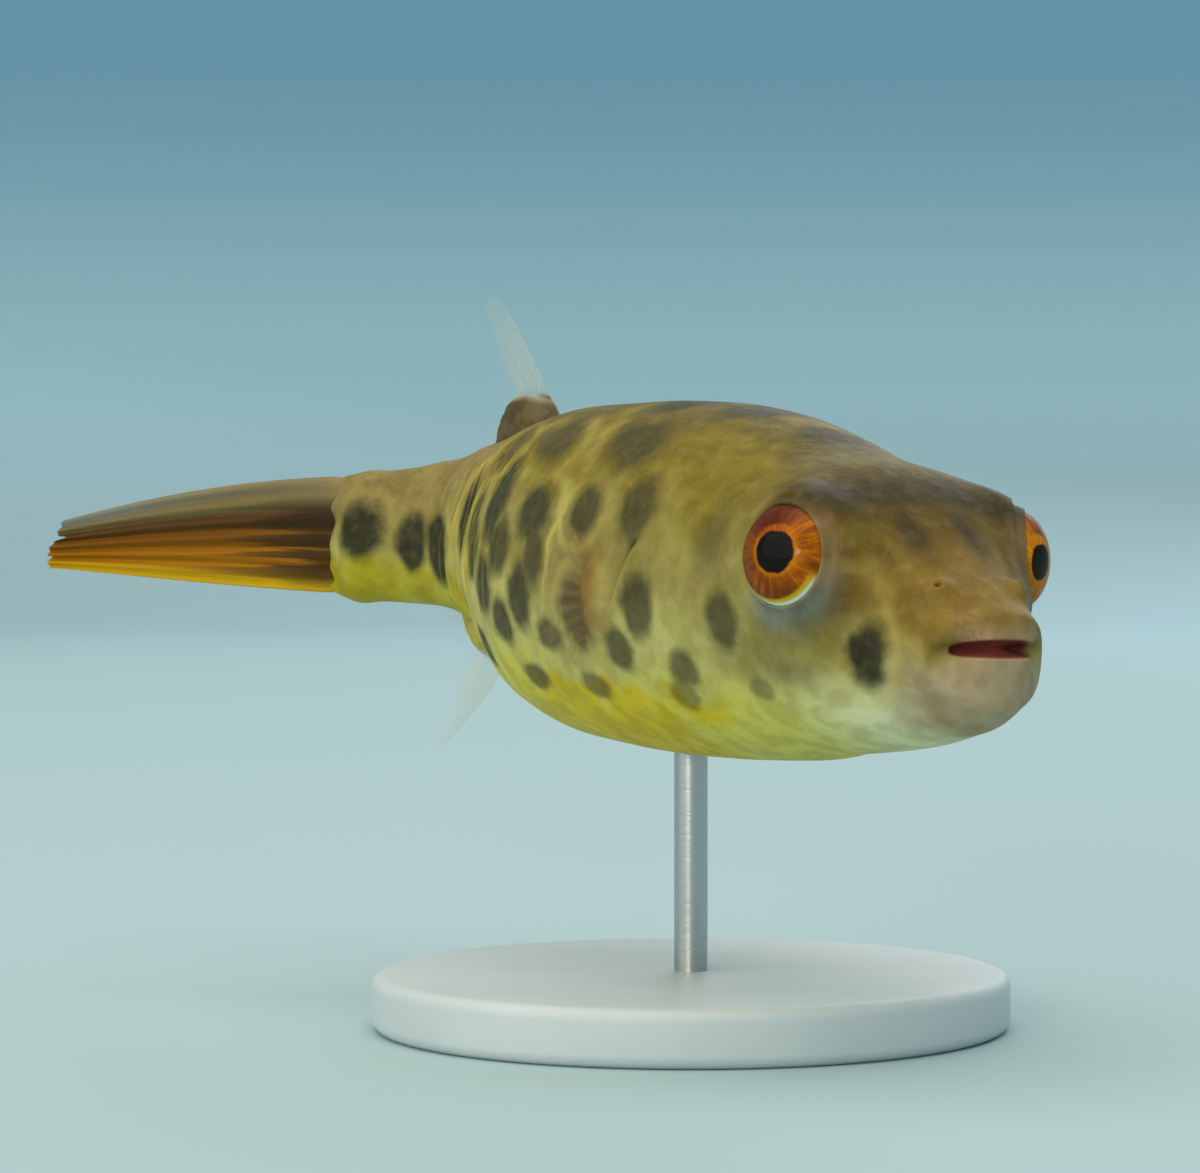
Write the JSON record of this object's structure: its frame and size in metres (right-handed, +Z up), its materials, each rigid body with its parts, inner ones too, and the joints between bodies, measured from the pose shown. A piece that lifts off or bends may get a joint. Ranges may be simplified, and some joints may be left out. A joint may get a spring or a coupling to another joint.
{
  "type": "freshwater pufferfish display model",
  "caption": "Still, life-size model of a small spotted freshwater pufferfish with its tail bent to one side, held by a rod on a plain round stand.",
  "frame": {"origin": "centre of the underside of the stand's round base", "axes": "+X the way the fish's head faces, +Z up, +Y to the fish's left; the tail bends towards -Y"},
  "size_m": [0.0748, 0.0364, 0.0382],
  "materials": {
    "skin_olive": "satin",
    "skin_pale": "satin",
    "fin_clear": "satin",
    "fin_amber": "satin",
    "eye_orange": "gloss",
    "base_grey": "satin",
    "rod_steel": "satin"
  },
  "bodies": {
    "root": {"head": "skin_olive", "lower_jaw": "skin_pale", "trunk": "skin_olive", "tail_stem": "skin_olive", "caudal_fin": "fin_amber", "dorsal_fin": "fin_clear", "anal_fin": "fin_clear", "pectoral_fin_right": "fin_clear", "pectoral_fin_left": "fin_clear", "eye_right": "eye_orange", "eye_left": "eye_orange", "stand_base": "base_grey", "stand_rod": "rod_steel"}
  },
  "joints": []
}
